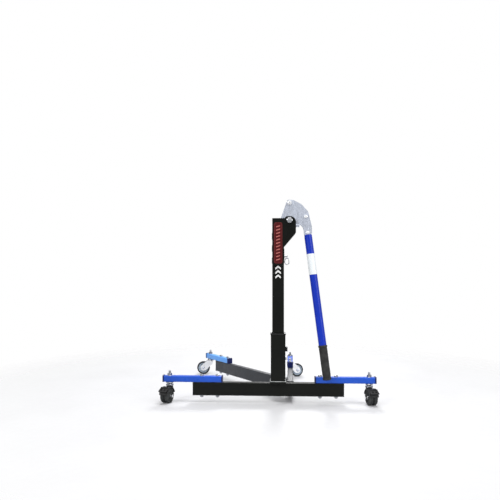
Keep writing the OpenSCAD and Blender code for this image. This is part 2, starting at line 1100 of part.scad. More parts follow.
// Pressed fork: a crown and two side plates
module rear_fork(i) {
    inside = rear_wheel_w / 2 + 2;
    sheet = 2.5;
    color(CHROME)
        at_castor(i)
            difference() {
                union() {
                    translate([0, 0, fork_top - 5])
                        cylinder(r = 19, h = 5);
                    block([-12, -inside - sheet, fork_top - 5], [16, inside + sheet, fork_top]);
                    for (side = [-1, 1])
                        plate_xz(side > 0 ? inside : -inside - sheet, side > 0 ? inside + sheet : -inside)
                            polygon(rounded([
                                [-12, fork_top, 0],
                                [-12, fork_top - 16, 4],
                                [rear_trail - 13, rear_wheel_r - 13, 8],
                                [rear_trail + 13, rear_wheel_r - 15, 12],
                                [rear_trail + 15, rear_wheel_r + 9, 11],
                                [16, fork_top, 3]
                            ]));
                }
                translate([0, 0, fork_top - 30])
                    cylinder(r = m10_r + running_gap, h = 40);
                translate([rear_trail, 0, rear_wheel_r])
                    rod_y(axle_r, -outer_side, outer_side);
            }
}

module rear_axle(i) {
    face = rear_wheel_w / 2 + 4.5;
    color(ZINC)
        at_castor(i)
            translate([rear_trail, 0, rear_wheel_r]) {
                rod_y(axle_r, -face, face + 8);
                hex_y(m8_af, -face - 5.3, -face);
                hex_y(m8_af, face, face + 6.5);
            }
}

module rear_tyre(i) {
    color(SLATE)
        at_castor(i)
            translate([rear_trail, 0, rear_wheel_r])
                tread(rear_wheel_r, rear_wheel_w, 6, rear_wheel_r - 8);
}

// Moulded wheel centre: rim, recessed web and a boss that runs on the axle
module rear_hub(i) {
    rim = rear_wheel_r - 8;
    half = rear_wheel_w / 2;
    color([0.62, 0.68, 0.74])
        at_castor(i)
            translate([rear_trail, 0, rear_wheel_r])
                difference() {
                    rod_y(rim, -half + 1, half - 1);
                    for (side = [-1, 1])
                        translate([0, side * half, 0])
                            difference() {
                                rod_y(rim - 3, -5, 5);
                                rod_y(9, -6, 6);
                            }
                    rod_y(axle_r + running_gap, -outer_side, outer_side);
                }
}

module rear_left_fork() {
    rear_fork(2);
}

module rear_left_axle() {
    rear_axle(2);
}

module rear_left_tyre() {
    rear_tyre(2);
}

module rear_left_hub() {
    rear_hub(2);
}

module rear_right_fork() {
    rear_fork(3);
}

module rear_right_axle() {
    rear_axle(3);
}

module rear_right_tyre() {
    rear_tyre(3);
}

module rear_right_hub() {
    rear_hub(3);
}

base_rail();
leg_straight();
leg_oblique();
beam_end_caps();
foot_plate();
foot_gussets();
mast_outer_tube();
mast_collar();
clamp_bolt();
clamp_knob();
arm_front_left();
arm_front_right();
arm_rear_left();
arm_rear_right();
arm_end_caps();
arm_bolts();
arm_nuts();
castor_stems();
castor_nuts();
mast_inner_tube();
mast_guide_block();
cheek_front();
cheek_rear();
head_stop();
mast_label();
label_print();
mast_mark();
pivot_bolt();
pivot_nut();
lock_pin();
lock_ring();
lifting_plate();
pivot_hub();
adapter_bush();
adapter_pin();
adapter_screw();
lever_tongue();
lever_bolts();
lever_tube();
lever_band();
lever_grip();
front_left_fork();
front_left_axle();
front_left_pedal();
front_left_wheel_inner();
front_left_wheel_outer();
front_right_fork();
front_right_axle();
front_right_pedal();
front_right_wheel_inner();
front_right_wheel_outer();
rear_left_fork();
rear_left_axle();
rear_left_tyre();
rear_left_hub();
rear_right_fork();
rear_right_axle();
rear_right_tyre();
rear_right_hub();
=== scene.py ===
"""Motorcycle paddock stand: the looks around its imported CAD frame, in metres.

+X runs along the front rail, +Y under the motorcycle and +Z up, with the floor at Z = 0.
"""

import json
import math
import random

import bmesh
import bpy
from mathutils import Matrix, Vector


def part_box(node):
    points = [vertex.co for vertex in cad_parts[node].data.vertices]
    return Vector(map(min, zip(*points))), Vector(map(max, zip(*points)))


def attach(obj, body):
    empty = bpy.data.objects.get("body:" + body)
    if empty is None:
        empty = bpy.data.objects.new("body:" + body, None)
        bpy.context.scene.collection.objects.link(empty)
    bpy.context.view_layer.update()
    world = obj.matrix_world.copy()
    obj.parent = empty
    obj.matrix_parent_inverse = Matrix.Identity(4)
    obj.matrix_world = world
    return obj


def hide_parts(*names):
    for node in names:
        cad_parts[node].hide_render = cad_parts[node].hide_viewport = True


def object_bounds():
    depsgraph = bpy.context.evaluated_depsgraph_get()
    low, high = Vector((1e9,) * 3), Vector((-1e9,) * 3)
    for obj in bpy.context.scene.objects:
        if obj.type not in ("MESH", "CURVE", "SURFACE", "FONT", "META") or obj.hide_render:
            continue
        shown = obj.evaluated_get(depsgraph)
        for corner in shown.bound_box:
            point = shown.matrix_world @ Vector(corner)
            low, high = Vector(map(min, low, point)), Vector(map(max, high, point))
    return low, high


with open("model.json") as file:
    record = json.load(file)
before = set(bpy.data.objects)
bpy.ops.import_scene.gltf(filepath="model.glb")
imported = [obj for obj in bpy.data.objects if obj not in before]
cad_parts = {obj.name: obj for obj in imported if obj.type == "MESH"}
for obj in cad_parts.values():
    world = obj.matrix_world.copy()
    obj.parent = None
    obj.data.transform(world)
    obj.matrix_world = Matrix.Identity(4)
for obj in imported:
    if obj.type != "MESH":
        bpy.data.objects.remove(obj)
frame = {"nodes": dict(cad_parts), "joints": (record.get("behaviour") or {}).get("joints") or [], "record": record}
cad_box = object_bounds()
nodes = frame["nodes"]
joints = {j["name"]: j for j in frame["joints"]}
slot_of = {s["node"]: s["material_slot"] for s in frame["record"]["subparts"]}
body_of = {n: b for b, ns in frame["record"]["behaviour"]["bodies"].items() for n in ns}

MM = 0.001
UP = Vector((0, 0, 1))
ACROSS = Vector((1, 0, 0))
UNDER = Vector((0, 1, 0))

# Levels and sections that the detailed pieces share with the CAD source
BEAM_Z, BEAM_TOP, ARM_TOP = 29 * MM, 83 * MM, 108 * MM
M8_R, M8_AF, M10_R, M10_AF = 4 * MM, 13 * MM, 5 * MM, 17 * MM
LEVER_LEN = 603 * MM
LEVER_LEAN, LEVER_SPLAY = math.radians(7.25), math.radians(3.2)
# From the pivot to the lower lever bolt
TAIL = Vector((75.5, 0, -49.4)) * MM
BOLT_GAP = 66 * MM
CHEEK_FACE, OUTER_HALF = 30 * MM, 30 * MM
PLATE_FRONT, TONGUE_BACK = 10 * MM, 8 * MM
CLAMP_Z = 184 * MM
PIVOT_R, PIVOT_AF = 7 * MM, 21 * MM
LEG_HALF = 12.5 * MM
REAR_AXLE_FACE, FRONT_AXLE_FACE = 14.5 * MM, 17.5 * MM
RING_WIRE = 1.8 * MM
KNURL_COUNT = 7
# Distance of the two beam bolts from the castor stem of each arm
BOLTS_IN = {"front_left": (134 * MM, 200 * MM), "front_right": (134 * MM, 200 * MM),
            "rear_left": (110 * MM, 176 * MM), "rear_right": (115 * MM, 181 * MM)}


# ---------- placing ----------

def at(place, along=UP, across=None):
    """Matrix at a point, with +Z along one direction and +X as near as it can be to another."""
    z = Vector(along).normalized()
    x = Vector(across) if across else (ACROSS if abs(z.x) < 0.9 else UNDER)
    x = (x - z * x.dot(z)).normalized()
    turn = Matrix((x, z.cross(x), z)).transposed().to_4x4()
    return Matrix.Translation(Vector(place)) @ turn


def joint_at(name):
    return Vector(joints[name]["pos_m"])


PIVOT = joint_at("lever_swing")
PIN = joint_at("adapter_turn")
STEMS = {side: joint_at(side + "_castor_turn")
         for side in ("front_left", "front_right", "rear_left", "rear_right")}
MAST = Vector(((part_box("mast_outer_tube")[0].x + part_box("mast_outer_tube")[1].x) / 2, PIVOT.y, 0))
TONGUE = Matrix.Translation(PIVOT + TAIL) @ Matrix.Rotation(-LEVER_LEAN, 4, "Y")
LEVER = TONGUE @ Matrix.Translation((0, -5 * MM, 0)) @ Matrix.Rotation(-LEVER_SPLAY, 4, "X")


def arm_frame(side):
    """Matrix on the floor under a castor's stem, with +X out along its arm."""
    low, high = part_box("arm_" + side)
    stem, middle = STEMS[side], (low + high) / 2
    return at((stem.x, stem.y, 0), UP, (stem.x - middle.x, stem.y - middle.y, 0))


def centre(node):
    low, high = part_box(node)
    return (low + high) / 2


# ---------- mesh code ----------

def ring(radius, z, count=40, turn=0.0):
    """One ring of points about +Z. radius is a number, or a function of the angle."""
    angles = [turn + 2 * math.pi * k / count for k in range(count)]
    radii = [radius(a) if callable(radius) else radius for a in angles]
    heights = [z(a) if callable(z) else z for a in angles]
    return [(r * math.cos(a), r * math.sin(a), h) for a, r, h in zip(angles, radii, heights)]


def loft(bm, rings, matrix, loop=False):
    """Skins a stack of rings. A loop joins its last ring to its first, otherwise both ends are capped."""
    rows = [[bm.verts.new(matrix @ Vector(p)) for p in points] for points in rings]
    pairs = list(zip(rows, rows[1:] + rows[:1])) if loop else list(zip(rows, rows[1:]))
    for low, high in pairs:
        for i in range(len(low)):
            j = (i + 1) % len(low)
            bm.faces.new((low[i], low[j], high[j], high[i]))
    if not loop:
        bm.faces.new(rows[0][::-1])
        bm.faces.new(rows[-1])


def turned(bm, profile, matrix, loop=False, count=40):
    """Turned shape about +Z through (radius, height) points in millimetres."""
    loft(bm, [ring(r * MM, z * MM, count) for r, z in profile], matrix, loop)


def hex_radius(af):
    """Distance from the middle to the outline of a hexagon, as a function of the angle."""
    return lambda a: af / 2 / math.cos(a % (math.pi / 3) - math.pi / 6)


def hexagon(bm, matrix, af, height, bore=0.0, count=48, both=False):
    """Hexagon head or nut along +Z, its top chamfered by a cone, and the underside too if both."""
    outline = hex_radius(af)
    flat = af / 2 * 0.96
    drop = lambda a: (outline(a) - flat) * math.tan(math.radians(30))
    rings = [ring(outline, 0 if not both else drop, count),
             ring(outline, lambda a: height - drop(a), count),
             ring(flat, height, count)]
    if both:
        rings.insert(0, ring(flat, 0, count))
    if bore:
        rings += [ring(bore + 0.6 * MM, height, count), ring(bore, height - 0.6 * MM, count),
                  ring(bore, 0.2 * MM, count), ring(bore + 0.2 * MM, 0, count)]
    loft(bm, rings, matrix, loop=bool(bore))


def thread(bm, matrix, radius, length, pitch=1.25 * MM, count=24, rows=5):
    """Threaded rod along +Z with a chamfered tip."""
    depth = 0.55 * pitch
    total = int(length / pitch * rows)
    rings = []
    for k in range(total + 1):
        z = length * k / total
        fade = min(1.0, (length - z) / pitch)
        crest = radius - (1 - fade) * depth
        rings.append(ring(lambda a, z=z, c=crest: c - depth * 0.5 * (1 - math.cos(
            2 * math.pi * z / pitch - a)) * fade, z, count))
    loft(bm, rings, matrix)


def washer(bm, matrix, outer, bore, thick):
    """Stamped washer along +Z, rounded on its upper rim."""
    o, b, t = outer / MM, bore / MM, thick / MM
    turned(bm, [(b, 0), (o, 0), (o, t * 0.6), (o - 0.4 * t, t), (b + 0.2, t), (b, t - 0.2)], matrix, True)


def rounded_loop(width, height, corner, steps=6):
    """Points of a rectangle about the origin with rounded corners."""
    points = []
    for sx, sy, start in ((1, 1, 0), (-1, 1, 90), (-1, -1, 180), (1, -1, 270)):
        for k in range(steps + 1):
            a = math.radians(start + 90 * k / steps)
            points.append((sx * (width / 2 - corner) + corner * math.cos(a),
                           sy * (height / 2 - corner) + corner * math.sin(a)))
    return points


def slab(bm, matrix, width, height, low, high, corner=1 * MM, chamfer=0.5 * MM):
    """Rounded bar along +Z from low to high, its rims chamfered."""
    def outline(inset, z):
        return [(x, y, z) for x, y in
                rounded_loop(width - 2 * inset, height - 2 * inset, max(corner - inset, 0.1 * MM), 3)]
    loft(bm, [outline(chamfer, low), outline(0, low + chamfer), outline(0, high - chamfer),
              outline(chamfer, high)], matrix)


def sweep(bm, points, radius, closed, sides=10):
    """Tube along points. radius is a number, or a function of the point's index."""
    count = len(points)
    rings, side = [], None
    for k, point in enumerate(points):
        ahead = points[(k + 1) % count] if closed or k < count - 1 else point
        behind = points[k - 1] if closed or k else point
        along = (Vector(ahead) - Vector(behind)).normalized()
        if side is None:
            side = along.orthogonal()
        side = (side - along * side.dot(along)).normalized()
        over = along.cross(side)
        r = radius(k) if callable(radius) else radius
        rings.append([Vector(point) + (side * math.cos(a) + over * math.sin(a)) * r
                      for a in (2 * math.pi * i / sides for i in range(sides))])
    loft(bm, rings, Matrix.Identity(4), closed)


def spaced(corners, step, closed):
    """Points every step along straight lines between corners."""
    ends = list(zip(corners, corners[1:] + corners[:1])) if closed else list(zip(corners, corners[1:]))
    points = []
    for a, b in ends:
        a, b = Vector(a), Vector(b)
        n = max(1, round((b - a).length / step))
        points += [a.lerp(b, k / n) for k in range(n)]
    return points if closed else points + [Vector(corners[-1])]


def bead(bm, corners, radius, closed, rng):
    """Weld bead: overlapping ripples of slightly uneven size."""
    points = spaced(corners, 0.9 * MM, closed)
    sizes = [radius * (1 + 0.10 * math.sin(2 * math.pi * k / 3) + rng.uniform(-0.05, 0.05))
             for k in range(len(points))]
    if not closed:
        for k in range(min(3, len(sizes))):
            sizes[k] *= 0.55 + 0.15 * k
            sizes[-1 - k] *= 0.55 + 0.15 * k
    sweep(bm, points, lambda k: sizes[k], closed, 8)


def finish_mesh(bm, name, crease=38):
    """Turns a bmesh into a mesh that is smooth except at edges sharper than crease degrees."""
    bmesh.ops.recalc_face_normals(bm, faces=bm.faces)
    for face in bm.faces:
        face.smooth = True
    for edge in bm.edges:
        edge.smooth = len(edge.link_faces) == 2 and edge.calc_face_angle() < math.radians(crease)
    mesh = bpy.data.meshes.new(name)
    bm.to_mesh(mesh)
    bm.free()
    return mesh


def add(name, bm, slot, body, replaces=(), material=None, crease=38):
    """Adds a piece that rides on a body, and stands for CAD nodes if it replaces any."""
    mesh = finish_mesh(bm, name, crease)
    mesh.materials.append(material or MATERIALS[slot])
    piece = bpy.data.objects.new(name, mesh)
    bpy.context.scene.collection.objects.link(piece)
    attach(piece, body)
    if replaces:
        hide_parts(*replaces)
    return piece


def stand_in(node, bm, material=None, crease=38):
    """Adds a detailed piece in place of one CAD node, with that node's slot and body."""
    return add(node + "_shape", bm, slot_of[node], body_of[node], (node,), material, crease)


def soften(node, corner, fine=0.4 * MM, long=70 * MM):
    """Stands a copy of a CAD tube or plate in for it, its long edges rounded and the others broken."""
    bm = bmesh.new()
    bm.from_mesh(nodes[node].data)
    bmesh.ops.remove_doubles(bm, verts=bm.verts, dist=0.005 * MM)
    bmesh.ops.dissolve_limit(bm, angle_limit=math.radians(0.5), verts=bm.verts, edges=bm.edges)
    bmesh.ops.recalc_face_normals(bm, faces=bm.faces)

    def sharp(least, longest=1e9):
        return [e for e in bm.edges if len(e.link_faces) == 2 and e.is_convex
                and e.calc_face_angle() > math.radians(35) and least <= e.calc_length() < longest]

    for least, width, segments in ((long, corner, 4), (6 * MM, fine, 2)):
        edges = sharp(least)
        if edges and width:
            bmesh.ops.bevel(bm, geom=edges, offset=width, segments=segments, profile=0.5,
                            affect="EDGES", clamp_overlap=True)
    return stand_in(node, bm, crease=30)


# ---------- materials ----------

class Finish:
    """A node material built around one Principled shader, textured by place on the object."""

    def __init__(self, name, **sockets):
        self.material = bpy.data.materials.new(name)
        self.material.use_nodes = True
        self.tree = self.material.node_tree
        self.shader = self.tree.nodes["Principled BSDF"]
        for socket, value in sockets.items():
            self.shader.inputs[socket.replace("_", " ")].default_value = value
        self.place = self.tree.nodes.new("ShaderNodeTexCoord").outputs["Object"]

    def node(self, kind, links=(), **settings):
        made = self.tree.nodes.new(kind)
        for key, value in settings.items():
            setattr(made, key, value)
        for socket, value in links:
            if isinstance(value, bpy.types.NodeSocket):
                self.tree.links.new(value, made.inputs[socket])
            else:
                made.inputs[socket].default_value = value
        return made

    def noise(self, scale, detail=2.0, stretch=None, rough=0.5):
        where = self.place
        if stretch:
            where = self.node("ShaderNodeMapping", [("Vector", where), ("Scale", stretch)]).outputs[0]
        return self.node("ShaderNodeTexNoise", [("Vector", where), ("Scale", scale), ("Detail", detail),
                                                ("Roughness", rough)]).outputs[0]

    def span(self, value, low, high, to_low=0.0, to_high=1.0):
        """Maps a value from low..high onto to_low..to_high, clamped."""
        return self.node("ShaderNodeMapRange", [
            ("Value", value), ("From Min", low), ("From Max", high),
            ("To Min", to_low), ("To Max", to_high)]).outputs[0]

    def times(self, a, b):
        return self.node("ShaderNodeMath", [(0, a), (1, b)], operation="MULTIPLY").outputs[0]

    def blend(self, factor, a, b):
        """Colour a where the factor is 0, and b where it is 1."""
        mix = self.node("ShaderNodeMix", data_type="RGBA")
        for index, value in ((0, factor), (6, a), (7, b)):
            if isinstance(value, bpy.types.NodeSocket):
                self.tree.links.new(value, mix.inputs[index])
            else:
                mix.inputs[index].default_value = value
        return mix.outputs[2]

    def edges(self, radius):
        """1 on outer and inner edges, falling to 0 within about the radius."""
        soft = self.node("ShaderNodeBevel", [("Radius", radius)], samples=4).outputs[0]
        true = self.node("ShaderNodeNewGeometry").outputs["Normal"]
        dot = self.node("ShaderNodeVectorMath", [(0, soft), (1, true)], operation="DOT_PRODUCT")
        return self.span(dot.outputs["Value"], 0.995, 0.90)

    def upward(self):
        """1 where the surface faces up, 0 where it is upright or faces down."""
        normal = self.node("ShaderNodeNewGeometry").outputs["Normal"]
        z = self.node("ShaderNodeSeparateXYZ", [(0, normal)]).outputs[2]
        return self.span(z, 0.35, 0.95)

    def bump(self, height, distance, strength=1.0, over=None):
        links = [("Height", height), ("Distance", distance), ("Strength", strength)]
        if over:
            links.append(("Normal", over))
        return self.node("ShaderNodeBump", links).outputs[0]

    def wire(self, colour=None, roughness=None, normal=None):
        for socket, value in (("Base Color", colour), ("Roughness", roughness), ("Normal", normal)):
            if value is not None:
                self.tree.links.new(value, self.shader.inputs[socket])
        return self.material


def shade(colour, factor):
    return tuple(min(1.0, c * factor) for c in colour[:3]) + (1.0,)


def soft_edges(f, radius):
    """Normal that rounds the highlights of sharp CAD edges."""
    return f.node("ShaderNodeBevel", [("Radius", radius)], samples=4).outputs[0]


def powder_coat(name, colour, roughness, worn, gloss=0.25, peel=0.10, dust=0.10, deep=None):
    """Powder coat: orange peel, cloudy tone, light dust on top faces and thin worn edges.

    With a deep colour, the parts above the arms take it and the rear left arm is made a paler blue."""
    f = Finish(name, Coat_Weight=gloss * 0.2, Coat_Roughness=0.2, Specular_IOR_Level=gloss)
    cloud = f.span(f.noise(7, 4), 0.3, 0.7)
    tone = f.blend(cloud, shade(colour, 0.84), shade(colour, 1.18))
    if deep:
        x, y, z = f.node("ShaderNodeSeparateXYZ", [(0, f.place)]).outputs
        second = f.blend(cloud, shade(deep, 0.88), shade(deep, 1.14))
        tone = f.blend(f.span(z, 0.14, 0.20), tone, second)
        # The rear left arm is blended towards a paler blue
        paler_rear_left = f.times(f.span(x, -0.16, -0.20), f.span(y, 0.05, 0.12, 0.0, 0.8))
        tone = f.blend(paler_rear_left, tone, (0.15, 0.40, 0.85, 1))
    fall = f.times(f.upward(), f.span(f.noise(46, 6, rough=0.65), 0.48, 0.78, 0.0, dust))
    dusty = f.blend(fall, tone, (0.52, 0.52, 0.50, 1))
    chips = f.times(f.edges(1.1 * MM), f.span(f.noise(150, 4), 0.50, 0.66, 0.0, 0.75))
    rough = f.span(f.noise(60, 5), 0.3, 0.75, roughness - 0.06, roughness + 0.12)
    fine = f.bump(f.noise(620, 2), 0.25 * MM, peel, soft_edges(f, 0.9 * MM))
    broad = f.bump(f.noise(95, 2), 0.5 * MM, peel * 0.5, fine)
    return f.wire(f.blend(chips, dusty, shade(worn, 1)), rough, broad)


def plated(name, colour, roughness, spangle=0.10, metallic=1.0):
    """Zinc-plated or bare steel: faint spangle, rolling streaks, stains and a soft edge."""
    f = Finish(name, Metallic=metallic)
    cells = f.node("ShaderNodeTexVoronoi", [("Vector", f.place), ("Scale", 210.0)]).outputs["Color"]
    cell = f.node("ShaderNodeSeparateColor", [(0, cells)]).outputs[0]
    tone = f.blend(cell, shade(colour, 1 - spangle), shade(colour, 1 + spangle))
    stain = f.span(f.noise(24, 5, rough=0.6), 0.55, 0.85, 0.0, 0.35)
    tinted = f.blend(stain, tone, (colour[0] * 0.86, colour[1] * 0.80, colour[2] * 0.66, 1))
    streak = f.noise(420, 3, stretch=(1.0, 1.0, 0.08))
    rough = f.span(streak, 0.3, 0.7, roughness - 0.06, roughness + 0.12)
    fine = f.bump(streak, 0.06 * MM, 0.5, soft_edges(f, 0.5 * MM))
    return f.wire(tinted, rough, f.bump(cell, 0.03 * MM, 0.4, fine))


def chromed(name, colour, roughness=0.09):
    """Bright chrome with wiping marks and a few smudges."""
    f = Finish(name, Metallic=1.0)
    smudge = f.span(f.noise(32, 6, rough=0.65), 0.5, 0.8)
    wipe = f.noise(900, 2, stretch=(0.1, 0.1, 1.0))
    tone = f.blend(smudge, shade(colour, 1.0), shade(colour, 0.82))
    rough = f.span(f.times(smudge, f.span(wipe, 0.3, 0.7)), 0.0, 1.0, roughness, roughness + 0.22)
    return f.wire(tone, rough, f.bump(wipe, 0.02 * MM, 0.4, soft_edges(f, 0.4 * MM)))


def moulded(name, colour, roughness, grain=0.16, scuff=0.3, coat=0.0):
    """Moulded plastic: fine spark-eroded grain, sink marks and pale scuffs on its edges."""
    f = Finish(name, Coat_Weight=coat, Coat_Roughness=0.25, Specular_IOR_Level=0.3)
    cloud = f.span(f.noise(18, 3), 0.3, 0.7)
    tone = f.blend(cloud, shade(colour, 0.88), shade(colour, 1.16))
    worn = f.times(f.edges(0.8 * MM), f.span(f.noise(210, 4), 0.46, 0.70, 0.0, scuff))
    pale = tuple(min(1.0, c * 1.2 + 0.08) for c in colour[:3]) + (1.0,)
    rough = f.span(f.noise(120, 4), 0.3, 0.7, roughness - 0.06, roughness + 0.10)
    sink = f.bump(f.noise(42, 1), 0.4 * MM, 0.12, soft_edges(f, 0.6 * MM))
    return f.wire(f.blend(worn, tone, pale), rough, f.bump(f.noise(1500, 2), 0.06 * MM, grain, sink))


def rubbery(name, colour, roughness=0.68, dust=0.30, grain=0.5):
    """Matt rubber: pitted skin, pale bloom and grit in patches."""
    f = Finish(name, Specular_IOR_Level=0.35)
    bloom = f.span(f.noise(34, 5, rough=0.62), 0.42, 0.78, 0.0, dust)
    grit = f.span(f.noise(480, 3), 0.58, 0.74, 0.0, dust * 0.8)
    dusty = f.blend(bloom, shade(colour, 0.9), shade((0.20, 0.20, 0.19), 1))
    rough = f.span(f.noise(70, 4), 0.3, 0.7, roughness - 0.08, roughness + 0.14)
    pits = f.bump(f.noise(900, 3), 0.12 * MM, grain, soft_edges(f, 0.6 * MM))
    return f.wire(f.blend(grit, dusty, shade((0.28, 0.28, 0.26), 1)), rough, pits)


def printed(name, colour, roughness=0.32):
    """Printed film: ink mottle and light scratches."""
    f = Finish(name, Coat_Weight=0.05, Coat_Roughness=0.15, Specular_IOR_Level=0.2)
    ink = f.blend(f.span(f.noise(260, 4), 0.35, 0.65), shade(colour, 0.90), shade(colour, 1.10))
    scratch = f.span(f.noise(300, 5, stretch=(1.0, 1.0, 0.12), rough=0.7), 0.60, 0.72, 0.0, 0.22)
    worn = f.blend(scratch, ink, tuple(min(1.0, c * 0.7 + 0.25) for c in colour[:3]) + (1.0,))
    rough = f.span(f.noise(55, 3), 0.3, 0.7, roughness - 0.08, roughness + 0.10)
    return f.wire(worn, rough, f.bump(f.noise(180, 2), 0.05 * MM, 0.3, soft_edges(f, 0.3 * MM)))


def label_ink(name, colour, border):
    """Printed bars in one colour inside a border line in another."""
    f = Finish(name, Specular_IOR_Level=0.2)
    x, y, z = f.node("ShaderNodeSeparateXYZ", [(0, f.place)]).outputs
    low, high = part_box("label_print")
    rim = None
    for value, axis, reach in ((x, 0, 4.5 * MM), (z, 2, 2 * MM)):
        middle, half = (low[axis] + high[axis]) / 2, (high[axis] - low[axis]) / 2
        off = f.node("ShaderNodeMath", [(0, value), (1, -middle)], operation="ADD").outputs[0]
        off = f.node("ShaderNodeMath", [(0, off)], operation="ABSOLUTE").outputs[0]
        near = f.span(off, half - reach, half - reach + 0.3 * MM)
        rim = near if rim is None else f.node(
            "ShaderNodeMath", [(0, rim), (1, near)], operation="MAXIMUM").outputs[0]
    ink = f.blend(f.span(f.noise(260, 4), 0.35, 0.65), shade(colour, 0.85), shade(colour, 1.12))
    line = f.blend(f.span(f.noise(260, 4), 0.35, 0.65), shade(border, 0.80), shade(border, 1.15))
    rough = f.span(f.noise(55, 3), 0.3, 0.7, 0.30, 0.48)
    return f.wire(f.blend(rim, ink, line), rough, f.bump(f.noise(180, 2), 0.05 * MM, 0.3))


def reflective(name, colour):
    """Retroreflective film: a faint honeycomb of cells under a clear coat."""
    f = Finish(name, Coat_Weight=0.5, Coat_Roughness=0.12)
    cells = f.node("ShaderNodeTexVoronoi", [("Vector", f.place), ("Scale", 420.0)],
                   feature="DISTANCE_TO_EDGE").outputs[0]
    wall = f.span(cells, 0.02, 0.10)
    soil = f.span(f.noise(40, 5, rough=0.6), 0.52, 0.80, 0.0, 0.28)
    tone = f.blend(wall, shade(colour, 0.84), shade(colour, 1.04))
    rough = f.span(f.noise(80, 3), 0.3, 0.7, 0.22, 0.38)
    return f.wire(f.blend(soil, tone, shade(colour, 0.72)), rough,
                  f.bump(wall, 0.03 * MM, 0.4, soft_edges(f, 0.3 * MM)))


BARE = (0.30, 0.30, 0.30)
BRIGHT_ZINC = plated("bright_zinc", (0.95, 0.96, 0.98), 0.22, 0.04, 0.5)
DULL_ZINC = plated("dull_zinc", (0.36, 0.37, 0.40), 0.30)
# Pale bare steel for the mast's foot bead: partly a real bead, partly a painted highlight along the foot
WELD_HIGHLIGHT = plated("weld_bead_painted_highlight", (0.30, 0.31, 0.31), 0.38)
MATERIALS = {
    "black_powder_coat": powder_coat("black_powder_coat", (0.0055, 0.0062, 0.0050), 0.36, BARE, 0.12),
    "slate_powder_coat": powder_coat("slate_powder_coat", (0.034, 0.036, 0.042), 0.42, BARE),
    "blue_powder_coat": powder_coat("blue_powder_coat", (0.0135, 0.082, 0.500), 0.30, (0.02, 0.05, 0.20),
                                    deep=(0.004, 0.028, 0.400)),
    # Dark navy plastic: partly the caps' own colour, partly painted shade taken from cap ends in shadow
    "navy_plastic": moulded("navy_plastic", (0.004, 0.010, 0.080), 0.36, coat=0.1),
    "black_plastic": moulded("black_plastic", (0.008, 0.008, 0.008), 0.45),
    "zinc_steel": plated("zinc_steel", (0.66, 0.70, 0.79), 0.42),
    "chrome": chromed("chrome", (0.75, 0.76, 0.78)),
    "bronze": plated("bronze", (0.50, 0.31, 0.12), 0.34, 0.05),
    "red_label": printed("red_label", (0.075, 0.005, 0.006)),
    "red_print": label_ink("red_print", (0.480, 0.150, 0.130), (0.150, 0.030, 0.028)),
    "white_mark": printed("white_mark", (0.80, 0.80, 0.78)),
    "white_band": reflective("white_band", (0.82, 0.86, 0.88)),
    "grip_rubber": rubbery("grip_rubber", (0.016, 0.016, 0.016), dust=0.16),
    "twin_wheel_rubber": rubbery("twin_wheel_rubber", (0.020, 0.023, 0.023), dust=0.2),
    "tyre_rubber": rubbery("tyre_rubber", (0.012, 0.014, 0.017), dust=0.12),
    "hub_plastic": moulded("hub_plastic", (0.42, 0.50, 0.58), 0.38, scuff=0.15),
}
for name, node in nodes.items():
    node.data.materials.clear()
    node.data.materials.append(MATERIALS[slot_of[name]])

# ---------- tubes and plates ----------

for name, corner in (("base_rail", 3), ("leg_straight", 3), ("leg_oblique", 3), ("mast_outer_tube", 4),
                     ("mast_inner_tube", 3), ("arm_front_left", 2.5), ("arm_front_right", 2.5),
                     ("arm_rear_left", 2.5), ("arm_rear_right", 2.5)):
    soften(name, corner * MM)
for name, fine in (("foot_plate", 0.8), ("mast_collar", 0.8), ("beam_end_caps", 1.0), ("head_stop", 0.8)):
    soften(name, 0, fine * MM)


# ---------- fasteners ----------

def beam_fasteners():
    """Head, washer and threaded end of each beam bolt, with the nut and washer below."""
    bolts, nuts = bmesh.new(), bmesh.new()
    for side in STEMS:
        for inward in BOLTS_IN[side]:
            place = arm_frame(side) @ Matrix.Translation((-inward, 0, 0))
            top = place @ Matrix.Translation((0, 0, ARM_TOP))
            washer(bolts, top, 8 * MM, 3.9 * MM, 1.6 * MM)
            hexagon(bolts, top @ Matrix.Translation((0, 0, 1.6 * MM)), M8_AF, 5.3 * MM)
            under = place @ Matrix.Translation((0, 0, BEAM_Z)) @ Matrix.Rotation(math.pi, 4, "X")
            thread(bolts, under, M8_R, 10 * MM)
            washer(nuts, under, 8 * MM, 4 * MM, 1.6 * MM)
            hexagon(nuts, under @ Matrix.Translation((0, 0, 1.6 * MM)), M8_AF, 6.5 * MM, M8_R, both=True)
    stand_in("arm_bolts", bolts, DULL_ZINC)
    stand_in("arm_nuts", nuts, DULL_ZINC)


def castor_fasteners():
    """Fixed half of each castor: head inside the fork, domed race and threaded stem, with its nut."""
    stems, nuts = bmesh.new(), bmesh.new()
    rear = [(7.4, 59.4), (8.5, 60.4), (8.5, 64.2), (7.8, 65), (5, 65), (5, 75.8), (14.4, 75.8), (15.6, 76.3),
            (16, 77.3), (15.9, 78.8), (15.2, 80.6), (13.6, 82), (11.4, 82.8), (9, 83), (4.6, 83), (4.6, 109)]
    front = [(5.6, 55), (6.2, 55.5), (6.2, 60), (5.6, 60.6), (5, 60.6), (5, 67.4), (15, 67.4), (15.8, 67.8),
             (16, 68.6), (16, 72.2), (15.2, 73.2), (8.6, 74), (7.8, 74.6), (7.8, 76.2), (8.6, 77), (14.4, 78),
             (15.4, 79), (15.4, 81.6), (14.6, 82.6), (13, 83), (4.6, 83), (4.6, 109)]
    for side, stem in STEMS.items():
        place = at((stem.x, stem.y, 0))
        turned(stems, front if side.startswith("front") else rear, place)
        top = arm_frame(side) @ Matrix.Translation((0, 0, ARM_TOP))
        thread(stems, top, M10_R, 21 * MM, 1.5 * MM)
        washer(nuts, top, 10 * MM, 5 * MM, 2 * MM)
        hexagon(nuts, top @ Matrix.Translation((0, 0, 2 * MM)), M10_AF, 8.4 * MM, M10_R, both=True)
    stand_in("castor_stems", stems, DULL_ZINC)
    stand_in("castor_nuts", nuts, DULL_ZINC)


